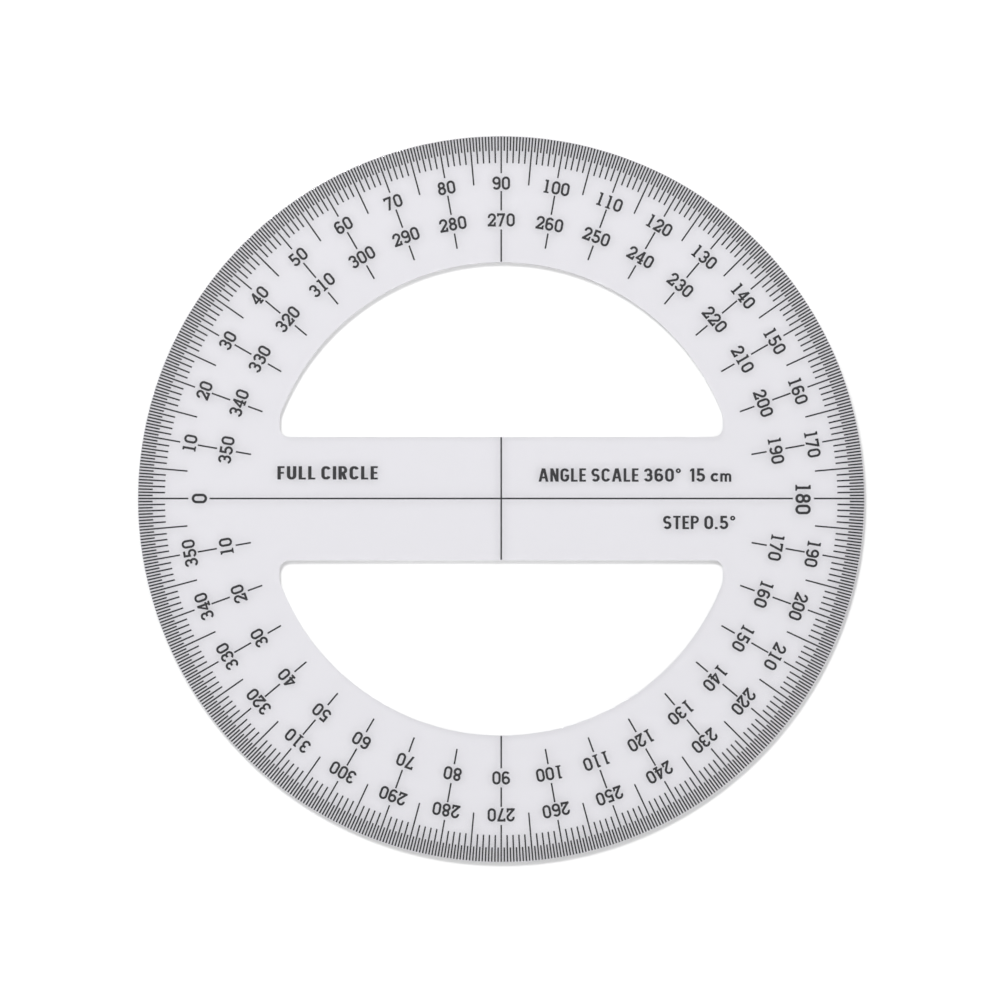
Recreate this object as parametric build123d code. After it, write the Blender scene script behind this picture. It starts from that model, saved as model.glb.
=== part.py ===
from build123d import *
import os

# Full-circle protractor: one flat sheet of clear plastic, 150 mm across, with a scale printed on its
# upper face. Millimetres. The sheet lies flat with +Z out of the printed face, +X points to the
# 180 degree mark and +Y to the 90 degree mark. The origin is on the underside, below the centre.

# The sheet
RADIUS = 75.0
THICKNESS = 2.0
OPENING_RADIUS = 48.85
OPENING_REACH = 45.75  # from the middle to the upright ends of the openings
OPENING_SHOULDER = 5.0  # the rounding where an upright end meets the arc
OPENING_CORNER = 2.0  # the rounding where it meets the bar
BAR_WIDTH = 25.5
TOP_ROUND = 0.1
BOTTOM_ROUND = 0.08

# The ink, a film on the upper face
INK = 0.03
MARK_WIDTH = 0.315
LINE_WIDTH = 0.335

# Radii that the marks reach inwards, from the flat of the face at the rim
MARK_START = RADIUS - TOP_ROUND
HALF_DEGREE_END = 71.95
ONE_DEGREE_END = 69.4
TEN_DEGREE_END = 67.3
FIVE_DEGREE_END = 65.0
ZERO_END = 64.56

# The short lines that lead from numeral to numeral
LINK_START = 63.6
LINK_END = 59.57
TAIL_START = 55.65
TAIL_END = 52.45
BASE_LINE_REACH = 60.2

# Numerals, on a cell whose middle is the middle of the digit
DIGIT_HEIGHT = 2.76
DIGIT_PITCH = 1.95
STROKE = 0.47
OUTER_NUMERAL_RADIUS = 65.24
INNER_NUMERAL_RADIUS = 57.62
END_NUMERAL_RADIUS = 62.3
END_NUMERAL_SCALE = 1.16

# Words on the bar: text, left end, middle height, how far the strokes are widened each way, and the
# gap between characters
LABELS = {
    "label_left": ("FULL CIRCLE", -46.2, 5.3, 0.12, 0.46),
    "label_right": ("ANGLE SCALE 360°  15 cm", 7.7, 4.85, 0.05, 0.36),
    "label_lower": ("STEP 0.5°", 33.4, -4.95, 0.05, 0.36),
}

FULL_TURN = 360
HALF_TURN = 180
QUARTER_TURN = 90


# ---------------------------------------------------------------- the sheet


def openings():
    """The outline of both openings: round on the outside, upright at the ends, straight at the bar."""
    outline = Circle(OPENING_RADIUS) & Rectangle(2 * OPENING_REACH, 2 * OPENING_RADIUS)
    outline = fillet(outline.vertices(), OPENING_SHOULDER)
    outline -= Rectangle(2 * OPENING_RADIUS, BAR_WIDTH)
    at_bar = outline.vertices().filter_by(lambda vertex: abs(vertex.Y) < BAR_WIDTH / 2 + OPENING_CORNER / 2)
    return fillet(at_bar, OPENING_CORNER)


def plate():
    """A disc with a straight bar left between two D-shaped openings, and its arrises taken off."""
    sheet = extrude(Circle(RADIUS) - openings(), THICKNESS)
    by_height = sheet.edges().filter_by_position(Axis.Z, THICKNESS, THICKNESS)
    sheet = fillet(by_height, TOP_ROUND)
    by_height = sheet.edges().filter_by_position(Axis.Z, 0, 0)
    return [fillet(by_height, BOTTOM_ROUND)]


# ---------------------------------------------------------------- characters


def bar(x1, y1, x2, y2, width=STROKE):
    """A straight stroke with square ends."""
    return trace(Line((x1, y1), (x2, y2)), width)


def bow(x, y, radius, start, turn, width=STROKE):
    """A round stroke about (x, y), from the angle start, through the angle turn."""
    return trace(CenterArc((x, y), radius, start, turn), width)


def patch(*points):
    """A filled outline of straight sides."""
    return make_face(Polyline(*points, close=True))


def slant(x1, y1, x2, y2, width=STROKE):
    """A leaning stroke whose ends are cut level."""
    half = width / 2 * ((x2 - x1) ** 2 + (y2 - y1) ** 2) ** 0.5 / abs(y2 - y1)
    return patch((x1 - half, y1), (x1 + half, y1), (x2 + half, y2), (x2 - half, y2))


TOP = DIGIT_HEIGHT / 2
HIGH = TOP - STROKE / 2  # the middle of a stroke along the top
SIDE = 0.63  # the middle of a stroke down the side of a round digit
THIN = 0.4  # a slab serif
SLAB = TOP - THIN / 2  # the middle of a thin stroke along the top


def zero():
    straight = HIGH - SIDE
    sides = [bar(x, -straight, x, straight) for x in (-SIDE, SIDE)]
    return sides + [bow(0, straight, SIDE, 0, HALF_TURN), bow(0, -straight, SIDE, HALF_TURN, HALF_TURN)]


def one():
    left, right = -0.16, 0.26
    flag = patch((-0.46, TOP), (right, TOP), (right, 0.6), (left, 0.6), (left, 0.9), (-0.46, 1.1))
    foot = patch((-0.5, -TOP), (0.6, -TOP), (0.6, -1.14), (right, -0.96), (left, -0.96), (-0.5, -1.14))
    return [bar(0.05, -TOP, 0.05, TOP), flag, foot]


def two():
    head = bow(0.02, HIGH - 0.62, 0.62, -40, 232)
    slope = bar(0.51, 0.17, -0.614, -HIGH)
    base = bar(-0.84, -HIGH, 0.84, -HIGH)
    return [head, slope, base, slant(0.58, -1.1, 0.68, -0.5, THIN)]


def three():
    waist = bar(-0.16, 0.04, 0.3, 0.04)
    return [bow(0, HIGH - 0.58, 0.58, -70, 240), bow(0.03, 0.64 - HIGH, 0.64, -160, 230), waist]


def four():
    stem = bar(0.33, -TOP, 0.33, TOP)
    slope = slant(-0.66, -0.5, 0.32, TOP - 0.02, THIN)
    foot = bar(-0.14, -SLAB, 0.86, -SLAB, THIN)
    return [stem, slope, bar(-0.87, -0.5, 0.8, -0.5, THIN), foot]


def five():
    roof = bar(-0.67, HIGH, 0.58, HIGH)
    back = bar(-0.46, TOP, -0.46, -0.13)
    return [roof, back, bow(-0.03, 0.66 - HIGH, 0.66, -162, 285)]


def six():
    centre = HIGH - SIDE
    back = bar(-SIDE, -centre, -SIDE, centre)
    bowl = [bow(0, -centre, SIDE, start, HALF_TURN) for start in (0, HALF_TURN)]
    return bowl + [back, bow(0, centre, SIDE, 30, 150)]


def seven():
    roof = bar(-0.86, HIGH, 0.8, HIGH)
    drop = bar(-0.68, TOP, -0.68, 0.7, THIN)
    return [roof, drop, slant(-0.3, -TOP, 0.55, 1.1)]


def eight():
    lower = 0.61
    upper = HIGH - lower - 0.01  # the two rings share the stroke at the waist
    return [bow(0, HIGH - upper, upper, 0, FULL_TURN), bow(0, lower - HIGH, lower, 0, FULL_TURN)]


def nine():
    return [Rot(0, 0, HALF_TURN) * piece for piece in six()]


DIGITS = [zero, one, two, three, four, five, six, seven, eight, nine]


def plain_one():
    flag = patch((-0.1, TOP), (0.2, TOP), (0.2, 1.0), (-0.1, 0.94), (-0.5, 0.66), (-0.5, 1.06))
    return [bar(0.1, -TOP, 0.1, TOP), flag]


def letter_a():
    legs = [slant(side * 0.74, -TOP, side * 0.08, TOP) for side in (-1, 1)]
    return legs + [bar(-0.5, -0.52, 0.5, -0.52, THIN)]


def letter_c():
    straight = HIGH - SIDE
    ends = [bow(0, straight, SIDE, 20, 160), bow(0, -straight, SIDE, HALF_TURN, 160)]
    return ends + [bar(-SIDE, -straight, -SIDE, straight)]


def letter_e():
    arms = [bar(-0.6, y, x, y, THIN) for y, x in ((SLAB, 0.58), (0, 0.46), (-SLAB, 0.58))]
    return arms + [bar(-0.45, -TOP, -0.45, TOP)]


def letter_f():
    arms = [bar(-0.6, y, x, y, THIN) for y, x in ((SLAB, 0.56), (0, 0.42))]
    return arms + [bar(-0.45, -TOP, -0.45, TOP)]


def letter_g():
    straight = HIGH - SIDE
    tongue = [bar(SIDE, -straight, SIDE, 0.06), bar(0.06, -0.12, 0.7, -0.12, THIN)]
    ends = [bow(0, straight, SIDE, 20, 160), bow(0, -straight, SIDE, HALF_TURN, HALF_TURN)]
    return ends + tongue + [bar(-SIDE, -straight, -SIDE, straight)]


def letter_i():
    return [bar(0, -TOP, 0, TOP)]


def letter_l():
    return [bar(-0.45, -TOP, -0.45, TOP), bar(-0.6, -SLAB, 0.58, -SLAB, THIN)]


def letter_n():
    posts = [bar(x, -TOP, x, TOP) for x in (-0.58, 0.58)]
    return posts + [slant(0.55, -TOP, -0.55, TOP)]


def letter_p():
    bowl = bow(0.1, SLAB / 2, SLAB / 2, -QUARTER_TURN, HALF_TURN, THIN)
    arms = [bar(-0.5, y, 0.1, y, THIN) for y in (0, SLAB)]
    return [bar(-0.45, -TOP, -0.45, TOP), bowl] + arms


def letter_r():
    return letter_p() + [slant(0.6, -TOP, 0.1, 0)]


def letter_s():
    return [bow(0, HIGH - 0.6, 0.6, 30, 240), bow(0, 0.57 - HIGH, 0.57, -150, 240)]


def letter_t():
    return [bar(-0.72, SLAB, 0.72, SLAB, THIN), bar(0, -TOP, 0, TOP)]


def letter_u():
    straight = SIDE - HIGH
    sides = [bar(x, straight, x, TOP) for x in (-SIDE, SIDE)]
    return sides + [bow(0, straight, SIDE, HALF_TURN, HALF_TURN)]


def small_c():
    return [bow(0.04, 0.67 - HIGH, 0.67, 45, 270)]


def small_m():
    tops = [bow(x, -0.28, 0.45, 0, HALF_TURN, THIN) for x in (-0.45, 0.45)]
    posts = [bar(x, -TOP, x, -0.28, THIN) for x in (-0.9, 0, 0.9)]
    return tops + posts + [bar(-0.9, -0.3, -0.9, 0.35, THIN)]


def degree_sign():
    radius, width = 0.34, 0.3
    centre = TOP - radius - width / 2
    return [bow(0, centre, radius, 0, FULL_TURN, width)]


def full_stop():
    return [bar(0, -TOP, 0, -TOP + STROKE)]


LETTERS = {
    "A": letter_a,
    "C": letter_c,
    "E": letter_e,
    "F": letter_f,
    "G": letter_g,
    "I": letter_i,
    "L": letter_l,
    "N": letter_n,
    "P": letter_p,
    "R": letter_r,
    "S": letter_s,
    "T": letter_t,
    "U": letter_u,
    "c": small_c,
    "m": small_m,
    "°": degree_sign,
    ".": full_stop,
    "1": plain_one,
}
LETTERS.update({str(i): DIGITS[i] for i in (0, 3, 5, 6)})
SPACE_WIDTH = 0.75


def inked(strokes, scale_by=1.0, spread=0):
    """The strokes of one character as one film of ink, standing on the upper face. A bold character
    is spread: laid down three times, side by side."""
    shifts = (-spread, 0, spread) if spread else (0,)
    outline = Sketch() + [Pos(shift, 0) * piece for shift in shifts for piece in strokes()]
    return Pos(0, 0, THICKNESS) * extrude(scale(outline, scale_by), INK)


# ---------------------------------------------------------------- printed marks


def mark(reading, outer, inner, width):
    """A straight line of ink on the radius at a reading, which runs clockwise from -X."""
    middle = Pos((outer + inner) / 2, 0, THICKNESS + INK / 2)
    return Rot(0, 0, HALF_TURN - reading) * middle * Box(outer - inner, width, INK)


def half_degree_marks():
    readings = [step + 0.5 for step in range(FULL_TURN)]
    return [mark(a, MARK_START, HALF_DEGREE_END, MARK_WIDTH) for a in readings]


def one_degree_marks():
    readings = [a for a in range(FULL_TURN) if a % 5]
    return [mark(a, MARK_START, ONE_DEGREE_END, MARK_WIDTH) for a in readings]


def five_degree_marks():
    readings = range(5, FULL_TURN, 10)
    return [mark(a, MARK_START, FIVE_DEGREE_END, MARK_WIDTH) for a in readings]


def numeral_readings():
    """Every tenth degree that has an outer and an inner numeral: all but 0 and 180."""
    return [a for a in range(0, FULL_TURN, 10) if a % HALF_TURN]


def ten_degree_marks():
    return [mark(a, MARK_START, TEN_DEGREE_END, MARK_WIDTH) for a in numeral_readings()]


def zero_straight_marks():
    return [mark(a, MARK_START, ZERO_END, LINE_WIDTH) for a in (0, HALF_TURN)]


def numeral_links():
    return [mark(a, LINK_START, LINK_END, LINE_WIDTH) for a in numeral_readings()]


def numeral_tails():
    """Below the inner numerals. The two on the upright line run to the edge of the openings."""
    edge = OPENING_RADIUS + TOP_ROUND
    ends = {a: TAIL_END if (a - QUARTER_TURN) % HALF_TURN else edge for a in numeral_readings()}
    return [mark(a, TAIL_START, end, LINE_WIDTH) for a, end in ends.items()]


def base_line():
    return [Pos(0, 0, THICKNESS + INK / 2) * Box(2 * BASE_LINE_REACH, LINE_WIDTH, INK)]


def upright_line():
    """Across the bar, in two lengths that meet the base line."""
    edge = BAR_WIDTH / 2 - TOP_ROUND
    return [mark(a, edge, LINE_WIDTH / 2, LINE_WIDTH) for a in (QUARTER_TURN, 3 * QUARTER_TURN)]


# ---------------------------------------------------------------- numerals and words


def numeral(number, reading, radius, digits, size=1.0):
    """A number whose top points outwards, centred on the radius at a reading."""
    text = str(number)
    first = -(len(text) - 1) / 2
    places = [(first + i) * DIGIT_PITCH * size for i in range(len(text))]
    turn = Rot(0, 0, QUARTER_TURN - reading)
    return [turn * Pos(x, radius, 0) * digits[int(c)] for c, x in zip(text, places)]


def numerals():
    """The three groups of numbers: outer, inner, and the larger 0 and 180."""
    digits = [inked(strokes) for strokes in DIGITS]
    large = [inked(strokes, END_NUMERAL_SCALE) for strokes in DIGITS]
    outer, inner, ends = [], [], []
    for a in numeral_readings():
        outer += numeral(a, a, OUTER_NUMERAL_RADIUS, digits)
        inner += numeral(FULL_TURN - a, a, INNER_NUMERAL_RADIUS, digits)
    for a in (0, HALF_TURN):
        ends += numeral(a, a, END_NUMERAL_RADIUS, large, END_NUMERAL_SCALE)
    return outer, inner, ends


def label(text, left, middle, spread, gap):
    """A word line on the bar, each character one gap from the last."""
    characters = []
    x = left
    for c in text:
        if c == " ":
            x += SPACE_WIDTH
            continue
        body = inked(LETTERS[c], spread=spread)
        box = body.bounding_box()
        characters.append(Pos(x - box.min.X, middle, 0) * body)
        x += box.size.X + gap
    return characters


# ---------------------------------------------------------------- write the nodes


def write(node, solids):
    export_step(Compound(children=[s.solid() for s in solids]), f"parts/{node}.step")


def main():
    os.makedirs("parts", exist_ok=True)
    printed = [
        half_degree_marks,
        one_degree_marks,
        five_degree_marks,
        ten_degree_marks,
        zero_straight_marks,
        numeral_links,
        numeral_tails,
        base_line,
        upright_line,
    ]
    for make in [plate] + printed:
        write(make.__name__, make())
    for node, solids in zip(("outer_numerals", "inner_numerals", "end_numerals"), numerals()):
        write(node, solids)
    for node, words in LABELS.items():
        write(node, label(*words))


main()
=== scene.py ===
import math

import bmesh
import bpy
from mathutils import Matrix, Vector


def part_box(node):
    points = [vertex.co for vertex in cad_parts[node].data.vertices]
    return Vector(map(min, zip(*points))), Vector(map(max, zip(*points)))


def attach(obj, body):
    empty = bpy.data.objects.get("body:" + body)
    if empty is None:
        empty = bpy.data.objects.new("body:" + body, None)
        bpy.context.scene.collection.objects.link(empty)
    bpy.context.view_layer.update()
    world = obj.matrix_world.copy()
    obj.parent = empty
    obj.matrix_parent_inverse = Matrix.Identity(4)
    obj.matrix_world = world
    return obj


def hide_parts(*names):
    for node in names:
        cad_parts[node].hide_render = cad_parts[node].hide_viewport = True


# The looks of a full-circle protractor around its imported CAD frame. Metres. The sheet is built again
# with a fine mesh and rounded arrises. The printed marks are the CAD's own solids with an ink material.

MM = 0.001

# The sheet, as in the CAD
OPENING_RADIUS = 48.85 * MM
OPENING_REACH = 45.75 * MM
OPENING_SHOULDER = 5.0 * MM
OPENING_CORNER = 2.0 * MM
HALF_BAR = 12.75 * MM
TOP_ROUND = 0.1 * MM
BOTTOM_ROUND = 0.08 * MM
ROUND_STEPS = 6
RIM_STEPS = 720
ARC_STEPS = 240
BAR_STEPS = 80
END_STEPS = 4
CORNER_STEPS = 16

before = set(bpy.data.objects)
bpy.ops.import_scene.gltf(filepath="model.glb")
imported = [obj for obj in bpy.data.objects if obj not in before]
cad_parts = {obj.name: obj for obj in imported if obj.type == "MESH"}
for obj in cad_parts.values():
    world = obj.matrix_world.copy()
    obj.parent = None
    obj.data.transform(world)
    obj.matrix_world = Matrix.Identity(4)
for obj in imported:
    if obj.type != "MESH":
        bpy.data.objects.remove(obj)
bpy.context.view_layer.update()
plate_low, plate_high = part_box("plate")
RADIUS = plate_high.x
THICKNESS = plate_high.z


# ---------------------------------------------------------------- node helpers


def new_material(name):
    material = bpy.data.materials.new(name)
    material.use_nodes = True
    tree = material.node_tree
    tree.nodes.clear()
    return material, tree


def node(tree, kind, **inputs):
    """A node of a kind, with plain values or links put on its inputs by name."""
    made = tree.nodes.new(kind)
    for key, value in inputs.items():
        socket = made.inputs[key.replace("_", " ")]
        if isinstance(value, bpy.types.NodeSocket):
            tree.links.new(value, socket)
        else:
            socket.default_value = value
    return made


def maths(tree, operation, first, second=0.0, clamp=False):
    made = tree.nodes.new("ShaderNodeMath")
    made.operation = operation
    made.use_clamp = clamp
    for socket, value in zip(made.inputs, (first, second)):
        if isinstance(value, bpy.types.NodeSocket):
            tree.links.new(value, socket)
        else:
            socket.default_value = value
    return made.outputs[0]


def between(tree, value, low, high, to_low=0.0, to_high=1.0):
    """value carried from the range low to high over to another range, and held inside it."""
    made = node(tree, "ShaderNodeMapRange")
    tree.links.new(value, made.inputs["Value"])
    for key, number in (("From Min", low), ("From Max", high), ("To Min", to_low), ("To Max", to_high)):
        made.inputs[key].default_value = number
    return made.outputs["Result"]


def place(tree):
    """The point of the surface in metres, which is also its place in the frame."""
    return node(tree, "ShaderNodeTexCoord").outputs["Object"]


def noise(tree, scale, detail=2.0, roughness=0.5, turn=0.0, stretch=(1.0, 1.0, 1.0)):
    """Noise with so many waves to the metre, turned about Z and then stretched."""
    mapping = node(tree, "ShaderNodeMapping", Vector=place(tree))
    mapping.inputs["Rotation"].default_value = (0.0, 0.0, turn)
    mapping.inputs["Scale"].default_value = stretch
    made = node(tree, "ShaderNodeTexNoise", Vector=mapping.outputs[0], Scale=scale, Detail=detail)
    made.inputs["Roughness"].default_value = roughness
    return made.outputs["Fac"]


# ---------------------------------------------------------------- materials

# Noise scales are in waves to the metre, and bump distances in metres
SCRATCH_TURNS = (0.35, 1.25, 2.05, 2.8)
SCRATCH_SCALE = 90.0
SCRATCH_STRETCH = (0.12, 14.0, 1.0)
SCRATCH_ROUGHNESS = 0.09


def scratches(tree):
    """Hair-fine handling scratches that run four ways, 1 on a scratch and 0 off it."""
    total = 0.0
    for turn in SCRATCH_TURNS:
        streaks = noise(tree, SCRATCH_SCALE, 3.0, 0.6, turn, SCRATCH_STRETCH)
        lines = between(tree, streaks, 0.66, 0.7)
        total = maths(tree, "MAXIMUM", lines, total)
    return total


# What a lamp's light keeps at a flat face, where it comes in by a wall, and where it would go out by one
FACE_TINT = (0.884, 0.881, 0.897, 1.0)
WALL_IN_TINT = (0.74, 0.74, 0.75, 1.0)
WALL_OUT_TINT = (0.31, 0.31, 0.315, 1.0)


def tint(tree, factor, first, second):
    """A mix of two colours, each a plain value or a link."""
    made = node(tree, "ShaderNodeMix", Factor=factor)
    made.data_type = "RGBA"
    for socket, value in ((made.inputs[6], first), (made.inputs[7], second)):
        if isinstance(value, bpy.types.NodeSocket):
            tree.links.new(value, socket)
        else:
            socket.default_value = value
    return made.outputs[2]


def levelness(tree, geometry):
    """1 on the flat faces of the sheet, 0 on its upright walls."""
    facing = node(tree, "ShaderNodeSeparateXYZ", Vector=geometry.outputs["True Normal"])
    return maths(tree, "ABSOLUTE", facing.outputs["Z"])


def lamp_tint(tree):
    """What the sheet lets through of a lamp's light. It passes the flat faces, and it can come in by a
    wall, but inside the sheet it meets a wall so aslant that nearly all of it is mirrored back."""
    geometry = node(tree, "ShaderNodeNewGeometry")
    wall = tint(tree, geometry.outputs["Backfacing"], WALL_OUT_TINT, WALL_IN_TINT)
    return tint(tree, between(tree, levelness(tree, geometry), 0.3, 0.95), wall, FACE_TINT)


WORN_ROUGHNESS = 0.32
WEAR_SCALE = 220.0
CUT_SCALE = 700.0
CUT_STRETCH = (1.0, 1.0, 0.04)
CUT_HEIGHT = 0.000004
HAZE_SCALE = 60.0
HAZE_LOW, HAZE_HIGH = 0.012, 0.03
SWELL_SCALE = 35.0
SWELL_HEIGHT = 0.0002


def arris_wear(tree, level):
    """1 on the rounded arrises, which are rubbed dull, and 0 on the faces and walls. It is uneven."""
    rounded = maths(tree, "MULTIPLY", between(tree, level, 0.05, 0.2), between(tree, level, 0.995, 0.97))
    patchy = between(tree, noise(tree, WEAR_SCALE, 3.0, 0.6), 0.3, 0.6, 0.55, 1.0)
    return maths(tree, "MULTIPLY", rounded, patchy)


def cut_marks(tree, level):
    """Height of the fine upright ripples that the cutter left on the walls; none on the faces."""
    ripples = noise(tree, CUT_SCALE, 2.0, 0.5, 0.0, CUT_STRETCH)
    return maths(tree, "MULTIPLY", ripples, maths(tree, "SUBTRACT", 1.0, level, clamp=True))


def clear_plastic():
    """Clear acrylic: polished, faintly cool, a little uneven, with fine scratches and worn arrises."""
    material, tree = new_material("clear_plastic")
    level = levelness(tree, node(tree, "ShaderNodeNewGeometry"))
    worn = arris_wear(tree, level)
    haze = between(tree, noise(tree, HAZE_SCALE, 4.0), 0.35, 0.75, HAZE_LOW, HAZE_HIGH)
    scratched = maths(tree, "MULTIPLY", scratches(tree), SCRATCH_ROUGHNESS)
    roughness = maths(tree, "MAXIMUM", haze, scratched)
    roughness = maths(tree, "MAXIMUM", roughness, maths(tree, "MULTIPLY", worn, WORN_ROUGHNESS))
    waves = noise(tree, SWELL_SCALE, 1.0)
    swell = node(tree, "ShaderNodeBump", Strength=0.02, Distance=SWELL_HEIGHT, Height=waves)
    bump = node(tree, "ShaderNodeBump", Strength=0.6, Distance=CUT_HEIGHT, Height=cut_marks(tree, level))
    tree.links.new(swell.outputs[0], bump.inputs["Normal"])
    shader = node(
        tree,
        "ShaderNodeBsdfPrincipled",
        Base_Color=(0.842, 0.838, 0.855, 1.0),
        Roughness=roughness,
        IOR=1.49,
        Transmission_Weight=1.0,
        Normal=bump.outputs[0],
    )
    through = node(tree, "ShaderNodeBsdfTransparent", Color=lamp_tint(tree))
    lamp = node(tree, "ShaderNodeLightPath").outputs["Is Shadow Ray"]
    mixed = node(tree, "ShaderNodeMixShader", Fac=lamp)
    tree.links.new(shader.outputs[0], mixed.inputs[1])
    tree.links.new(through.outputs[0], mixed.inputs[2])
    out = node(tree, "ShaderNodeOutputMaterial")
    tree.links.new(mixed.outputs[0], out.inputs["Surface"])
    return material


INK_DARK = (0.013, 0.013, 0.015, 1.0)
INK_PALE = (0.024, 0.024, 0.027, 1.0)
INK_PATCH_SCALE = 900.0
INK_GRAIN_SCALE = 6000.0
INK_GRAIN_HEIGHT = 0.00001


def black_ink():
    """Screen-printed ink: matt black, a touch uneven in tone and in gloss."""
    material, tree = new_material("black_ink")
    patchy = noise(tree, INK_PATCH_SCALE, 4.0, 0.6)
    tone = tint(tree, between(tree, patchy, 0.3, 0.7), INK_DARK, INK_PALE)
    specks = noise(tree, INK_GRAIN_SCALE, 2.0)
    grain = node(tree, "ShaderNodeBump", Strength=0.25, Distance=INK_GRAIN_HEIGHT, Height=specks)
    shader = node(
        tree,
        "ShaderNodeBsdfPrincipled",
        Base_Color=tone,
        Roughness=between(tree, patchy, 0.3, 0.7, 0.5, 0.68),
        Specular_IOR_Level=0.3,
        Normal=grain.outputs[0],
    )
    out = node(tree, "ShaderNodeOutputMaterial")
    tree.links.new(shader.outputs[0], out.inputs["Surface"])
    return material


def floor_paint():
    """A plain pale studio floor."""
    material, tree = new_material("studio_floor")
    shader = node(
        tree,
        "ShaderNodeBsdfPrincipled",
        Base_Color=(0.9, 0.9, 0.9, 1.0),
        Roughness=0.9,
        Specular_IOR_Level=0.1,
    )
    out = node(tree, "ShaderNodeOutputMaterial")
    tree.links.new(shader.outputs[0], out.inputs["Surface"])
    return material


# ---------------------------------------------------------------- the sheet


def arc(x, y, radius, start, end, steps):
    """Points along an arc, the first one included and the last one left out."""
    angles = [start + (end - start) * i / steps for i in range(steps)]
    return [(x + radius * math.cos(a), y + radius * math.sin(a)) for a in angles]


def rim_outline(inset):
    return arc(0.0, 0.0, RADIUS - inset, 0.0, 2 * math.pi, RIM_STEPS)


def straight(x1, y1, x2, y2, steps):
    """Points along a line, the first one included and the last one left out."""
    return [(x1 + (x2 - x1) * i / steps, y1 + (y2 - y1) * i / steps) for i in range(steps)]


def opening_outline(inset, side):
    """An opening, round outside and upright at its ends, grown by inset. side is 1 for the upper one
    and -1 for the lower one. Each rounding keeps its centre as the opening grows."""
    big = OPENING_RADIUS + inset
    end = OPENING_REACH + inset
    low = HALF_BAR - inset
    corner = OPENING_CORNER + inset
    shoulder = OPENING_SHOULDER + inset
    corner_x = OPENING_REACH - OPENING_CORNER
    corner_y = HALF_BAR + OPENING_CORNER
    shoulder_x = OPENING_REACH - OPENING_SHOULDER
    shoulder_y = math.sqrt((OPENING_RADIUS - OPENING_SHOULDER) ** 2 - shoulder_x**2)
    lean = math.atan2(shoulder_y, shoulder_x)
    points = arc(0.0, 0.0, big, lean, math.pi - lean, ARC_STEPS)
    points += arc(-shoulder_x, shoulder_y, shoulder, math.pi - lean, math.pi, END_STEPS)
    points += straight(-end, shoulder_y, -end, corner_y, END_STEPS)
    points += arc(-corner_x, corner_y, corner, math.pi, 1.5 * math.pi, CORNER_STEPS)
    points += straight(-corner_x, low, corner_x, low, BAR_STEPS)
    points += arc(corner_x, corner_y, corner, -0.5 * math.pi, 0.0, CORNER_STEPS)
    points += straight(end, corner_y, end, shoulder_y, END_STEPS)
    points += arc(shoulder_x, shoulder_y, shoulder, 0.0, lean, END_STEPS)
    return [(side * x, side * y) for x, y in points]


def edge_profile():
    """(inset, height) up the sheet's edge: the lower arris, the wall and the upper arris."""
    quarter = [0.5 * math.pi * i / ROUND_STEPS for i in range(ROUND_STEPS + 1)]
    low = [(BOTTOM_ROUND * (1 - math.sin(a)), BOTTOM_ROUND * (1 - math.cos(a))) for a in quarter]
    high = [(TOP_ROUND * (1 - math.cos(a)), THICKNESS - TOP_ROUND * (1 - math.sin(a))) for a in quarter]
    return low + high


def wall(bm, outline, inward):
    """The rounded edge that runs round one outline. Returns its lowest and highest loops of vertices."""
    loops = []
    for inset, height in edge_profile():
        loops.append([bm.verts.new((x, y, height)) for x, y in outline(inset)])
    for below, above in zip(loops, loops[1:]):
        for i, vert in enumerate(below):
            j = (i + 1) % len(below)
            quad = [vert, below[j], above[j], above[i]]
            face = bm.faces.new(quad[::-1] if inward else quad)
            face.smooth = True
    return loops[0], loops[-1]


def cap(bm, loops, up):
    """A flat face of triangles between the loops of vertices."""
    edges = [bm.edges.get((v, loop[(i + 1) % len(loop)])) for loop in loops for i, v in enumerate(loop)]
    made = bmesh.ops.triangle_fill(bm, use_beauty=True, use_dissolve=False, edges=edges)
    for face in made["geom"]:
        if isinstance(face, bmesh.types.BMFace):
            face.normal_update()
            if (face.normal.z > 0) != up:
                face.normal_flip()
            face.smooth = False


def build_sheet():
    bm = bmesh.new()
    lows, highs = [], []
    outlines = [(rim_outline, False)]
    outlines += [(lambda inset, side=side: opening_outline(inset, side), True) for side in (1, -1)]
    for outline, inward in outlines:
        low, high = wall(bm, outline, inward)
        lows.append(low)
        highs.append(high)
    cap(bm, lows, up=False)
    cap(bm, highs, up=True)
    mesh = bpy.data.meshes.new("clear_sheet")
    bm.to_mesh(mesh)
    bm.free()
    sheet = bpy.data.objects.new("clear_sheet", mesh)
    bpy.context.scene.collection.objects.link(sheet)
    return sheet


# ---------------------------------------------------------------- the object

plastic = clear_plastic()
ink = black_ink()

sheet = build_sheet()
sheet.data.materials.append(plastic)
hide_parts("plate")
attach(sheet, "root")

for name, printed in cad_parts.items():
    if name == "plate":
        continue
    printed.data.materials.clear()
    printed.data.materials.append(ink)
    printed.visible_shadow = False
    printed.visible_diffuse = False


# ---------------------------------------------------------------- the studio

FLOOR_SIZE = 6.0
FLOOR_GAP = 0.05 * MM

bpy.ops.mesh.primitive_plane_add(size=FLOOR_SIZE, location=(0.0, 0.0, plate_low.z - FLOOR_GAP))
floor = bpy.context.object
floor.name = "studio_floor"
floor.data.materials.append(floor_paint())

HORIZON_LIGHT = 0.6
ZENITH_LIGHT = 0.67


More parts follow.
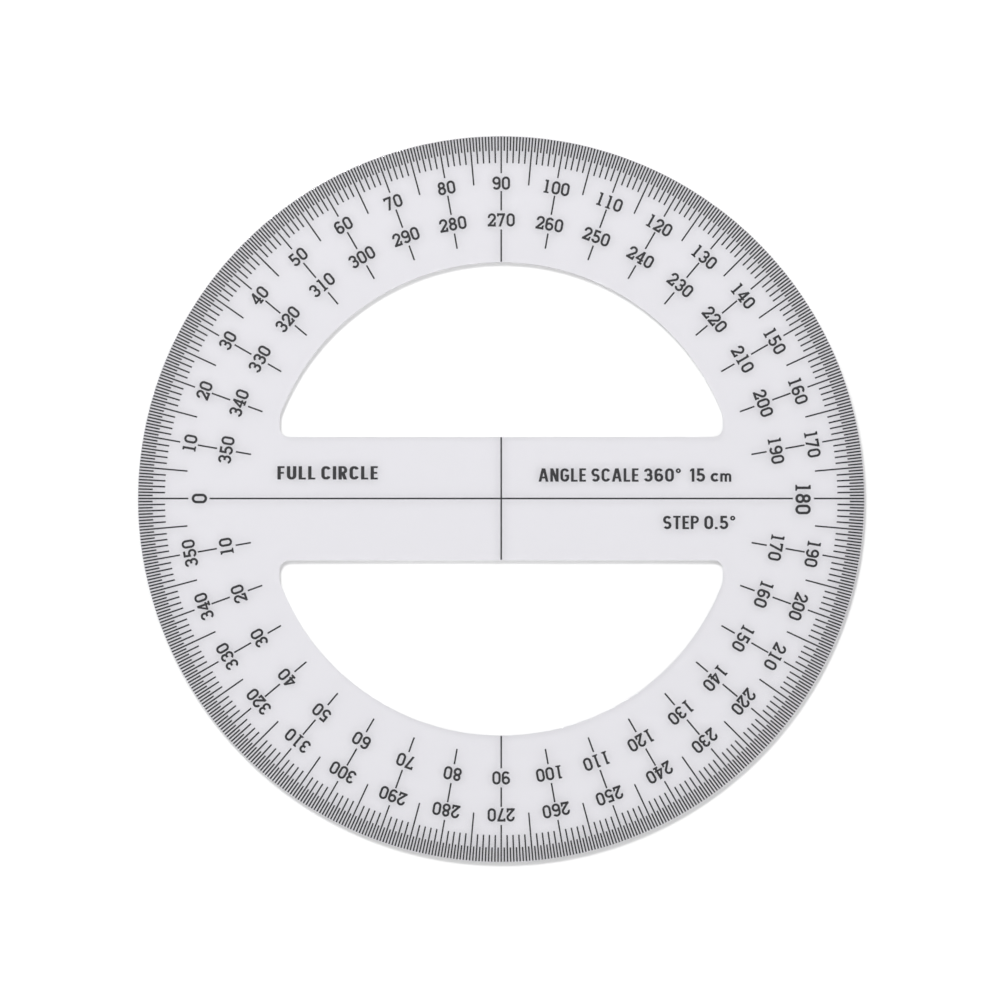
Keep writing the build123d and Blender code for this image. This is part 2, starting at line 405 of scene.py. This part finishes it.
def studio_world():
    """Even white light, a little stronger from above. It reaches the floor under the sheet only by the
    rays that pass the sheet, so it isn't sampled as a lamp."""
    world = bpy.data.worlds.new("studio")
    world.use_nodes = True
    tree = world.node_tree
    tree.nodes.clear()
    direction = node(tree, "ShaderNodeTexCoord").outputs["Generated"]
    height = node(tree, "ShaderNodeSeparateXYZ", Vector=direction).outputs["Z"]
    level = between(tree, height, 0.0, 1.0, HORIZON_LIGHT, ZENITH_LIGHT)
    background = node(tree, "ShaderNodeBackground", Color=(1.0, 1.0, 1.0, 1.0), Strength=level)
    out = node(tree, "ShaderNodeOutputWorld")
    tree.links.new(background.outputs[0], out.inputs["Surface"])
    world.cycles.sampling_method = "NONE"
    return world


bpy.context.scene.world = studio_world()

KEY_AZIMUTH = math.radians(-25)
KEY_ELEVATION = math.radians(67)
KEY_DISTANCE = 1.6
KEY_SIZE = 0.32
KEY_POWER = 16.85


def softbox(name, azimuth, elevation, distance, size, power):
    """A square area lamp that faces the object. Azimuth 0 is towards +Y. Its light passes the sheet by
    the material's shadow, so rays that have passed the sheet don't see it a second time."""
    lamp = bpy.data.lights.new(name, "AREA")
    lamp.shape = "SQUARE"
    lamp.size = size
    lamp.energy = power
    made = bpy.data.objects.new(name, lamp)
    flat = distance * math.cos(elevation)
    made.location = (flat * math.sin(azimuth), flat * math.cos(azimuth), distance * math.sin(elevation))
    made.rotation_euler = (-made.location).to_track_quat("-Z", "Y").to_euler()
    made.visible_transmission = False
    bpy.context.scene.collection.objects.link(made)
    return made


softbox("key", KEY_AZIMUTH, KEY_ELEVATION, KEY_DISTANCE, KEY_SIZE, KEY_POWER)

# The camera looks straight down from far off, leaning a little so that the edges nearest to it show
FRAME_WIDTH = 206.4 * MM
CAMERA_DISTANCE = 1.4
CAMERA_LEAN = math.radians(2.0)
SENSOR = 36.0
AIM = Vector((-0.25 * MM, -0.31 * MM, THICKNESS))

camera_data = bpy.data.cameras.new("camera")
camera_data.sensor_width = SENSOR
camera_data.lens = SENSOR * CAMERA_DISTANCE / FRAME_WIDTH
camera = bpy.data.objects.new("camera", camera_data)
back = Vector((0.0, -math.sin(CAMERA_LEAN), math.cos(CAMERA_LEAN)))
camera.location = AIM + back * CAMERA_DISTANCE
camera.rotation_euler = (CAMERA_LEAN, 0.0, 0.0)
bpy.context.scene.collection.objects.link(camera)
bpy.context.scene.camera = camera
bpy.context.scene.view_settings.view_transform = "Standard"
# The sheet stays sharp for rays that come from the floor, so it neither scatters nor traps their light,
# and rays that run along inside it, mirrored from face to face, are followed until they come out
BOUNCES = 48
cycles = bpy.context.scene.cycles
cycles.blur_glossy = 0.0
cycles.max_bounces = BOUNCES
cycles.glossy_bounces = BOUNCES
cycles.transmission_bounces = BOUNCES
